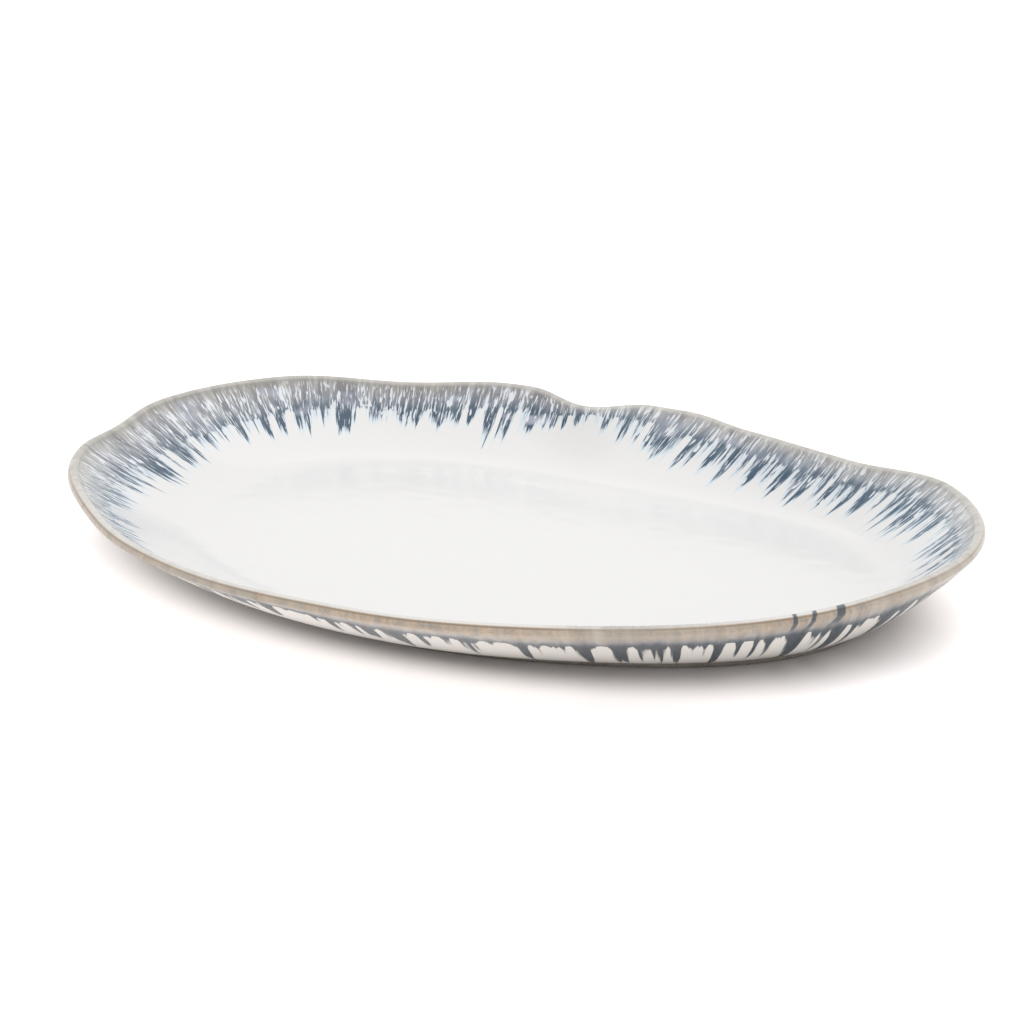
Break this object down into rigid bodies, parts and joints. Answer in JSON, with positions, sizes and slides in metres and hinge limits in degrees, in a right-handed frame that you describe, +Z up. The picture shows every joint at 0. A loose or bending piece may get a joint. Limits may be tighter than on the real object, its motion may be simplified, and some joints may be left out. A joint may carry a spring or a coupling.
{
  "type": "serving platter",
  "caption": "Hand-formed oval glazed serving platter with a wavy pinched rim, a shallow well, flared walls and a low bare foot ring.",
  "frame": {"origin": "middle of the rim's bounding box, on the table that the foot ring stands on", "axes": "+X along the platter's length, +Y across it, +Z up out of the well"},
  "size_m": [0.4054, 0.2846, 0.038],
  "materials": {
    "fired_clay": "unglazed fired stoneware body, fine matt grain",
    "bare_foot": "bare wiped stoneware, matt and slightly rough",
    "white_glaze": "glossy white glaze over soft hand-pressed marks",
    "reactive_glaze": "glossy blue-grey reactive glaze, with fine pale streaks and dark blue runs",
    "tan_edge_glaze": "satin tan glaze, broken thin over the lip"
  },
  "bodies": {
    "root": {"clay_body": "fired_clay", "foot_ring": "bare_foot", "well_glaze": "white_glaze", "rim_glaze": "reactive_glaze", "edge_glaze": "tan_edge_glaze", "outer_rim_glaze": "reactive_glaze", "wall_glaze": "white_glaze", "base_glaze": "white_glaze"}
  },
  "joints": []
}
